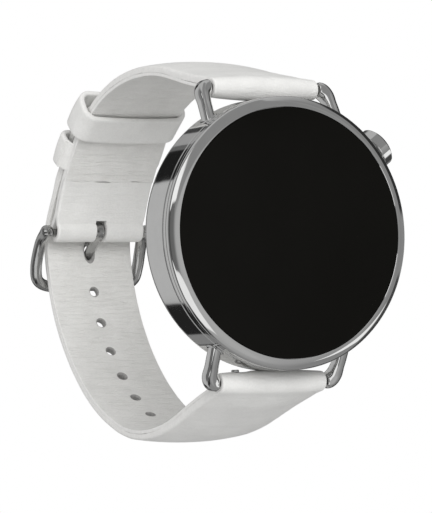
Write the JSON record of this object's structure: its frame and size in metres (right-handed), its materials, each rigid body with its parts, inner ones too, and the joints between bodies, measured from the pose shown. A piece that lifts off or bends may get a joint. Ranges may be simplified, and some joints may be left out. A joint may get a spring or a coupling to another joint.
{
  "type": "smartwatch",
  "caption": "Round smartwatch with a polished steel case, side crown, wire lugs and a pale leather strap closed in a loop by a pin buckle and keepers.",
  "frame": {"origin": "centre of the flat case back", "axes": "+Z towards 12 o'clock, +X towards 3 o'clock, -Y out of the display; the wrist loop lies at +Y"},
  "size_m": [0.042, 0.0721, 0.0606],
  "materials": {
    "polished_steel": "mirror polished stainless steel",
    "satin_steel": "satin brushed stainless steel",
    "cover_glass": "polished black glass over a dark display",
    "sensor_glass": "dark polished glass",
    "display": "switched-off display, gloss",
    "inner_plastic": "matte moulded",
    "seal_rubber": "matte",
    "circuit_board": "solder mask, semi-gloss",
    "battery_foil": "satin foil pouch",
    "copper_wire": "enamelled wire",
    "strap_leather": "pale grey smooth leather, fine grain, painted edges",
    "lining_leather": "pale grey suede-like lining, matte"
  },
  "bodies": {
    "case": {"mid_case": "polished_steel", "bezel": "polished_steel", "case_back": "satin_steel", "back_screw_1": "satin_steel", "back_screw_2": "satin_steel", "back_screw_3": "satin_steel", "back_screw_4": "satin_steel", "sensor_window": "sensor_glass", "cover_glass": "cover_glass", "display_panel": "display", "display_carrier": "inner_plastic", "front_gasket": "seal_rubber", "back_gasket": "seal_rubber", "main_board": "circuit_board", "chip_shield": "satin_steel", "battery": "battery_foil", "charging_coil": "copper_wire", "sensor_board": "circuit_board", "motor_case": "satin_steel", "crown_tube": "polished_steel", "switch_body": "inner_plastic", "lug_upper_left": "polished_steel", "lug_upper_right": "polished_steel", "lug_lower_left": "polished_steel", "lug_lower_right": "polished_steel"},
    "motor_rotor": {"motor_rotor": "satin_steel"},
    "crown_slider": {"crown_clip": "satin_steel"},
    "crown": {"crown_knob": "polished_steel", "crown_stem": "satin_steel", "crown_gasket": "seal_rubber"},
    "switch": {"switch_plunger": "satin_steel"},
    "strap_loop": {"short_strap": "strap_leather", "short_strap_lining": "lining_leather", "long_strap": "strap_leather", "long_strap_lining": "lining_leather", "fixed_keeper": "strap_leather", "upper_bar_tube": "satin_steel", "upper_bar_pin": "satin_steel", "upper_bar_spring": "satin_steel", "lower_bar_tube": "satin_steel", "lower_bar_pin": "satin_steel", "lower_bar_spring": "satin_steel"},
    "upper_release": {"upper_release_pin": "satin_steel"},
    "lower_release": {"lower_release_pin": "satin_steel"},
    "keeper": {"free_keeper": "strap_leather"},
    "buckle": {"buckle_frame": "polished_steel", "buckle_bar": "satin_steel"},
    "tongue": {"buckle_tongue": "polished_steel"}
  },
  "joints": [
    {"name": "crown_press", "type": "slide", "parent": "case", "child": "crown_slider", "axis": [-0.809, 0, -0.5878], "range_m": [0, 0.00045], "stiffness_N_per_m": 2000},
    {"name": "crown_spin", "type": "hinge", "parent": "crown_slider", "child": "crown", "pos_m": [0.0178, -0.0061, 0.01293], "axis": [0.809, 0, 0.5878], "continuous": true},
    {"name": "switch_press", "type": "slide", "parent": "case", "child": "switch", "axis": [-0.809, 0, -0.5878], "range_m": [0, 0.00045]},
    {"name": "rotor_spin", "type": "hinge", "parent": "case", "child": "motor_rotor", "pos_m": [0, -0.0051, -0.013], "axis": [1, 0, 0], "continuous": true},
    {"name": "strap_swing", "type": "hinge", "parent": "case", "child": "strap_loop", "pos_m": [0, -0.00356, 0.02271], "axis": [1, 0, 0], "range_deg": [0, 65]},
    {"name": "keeper_slide", "type": "hinge", "parent": "strap_loop", "child": "keeper", "pos_m": [0, 0.02534, 0.00014], "axis": [-1, 0, 0], "range_deg": [-8.58, 3.22]},
    {"name": "buckle_tilt", "type": "hinge", "parent": "strap_loop", "child": "buckle", "pos_m": [0, 0.05384, 0.00385], "axis": [1, 0, 0], "range_deg": [0, 3]},
    {"name": "tongue_tilt", "type": "hinge", "parent": "strap_loop", "child": "tongue", "pos_m": [0, 0.05384, 0.00385], "axis": [1, 0, 0], "range_deg": [0, 3]},
    {"name": "upper_bar_release", "type": "slide", "parent": "strap_loop", "child": "upper_release", "axis": [1, 0, 0], "range_m": [0, 0.0013], "stiffness_N_per_m": 800, "deforming": ["upper_bar_spring"]},
    {"name": "lower_bar_release", "type": "slide", "parent": "strap_loop", "child": "lower_release", "axis": [1, 0, 0], "range_m": [0, 0.0013], "stiffness_N_per_m": 800, "deforming": ["lower_bar_spring"]}
  ],
  "couplings": [
    {"joint": "switch_press", "follows": "crown_press", "ratio": 1},
    {"joint": "tongue_tilt", "follows": "buckle_tilt", "ratio": 1}
  ]
}
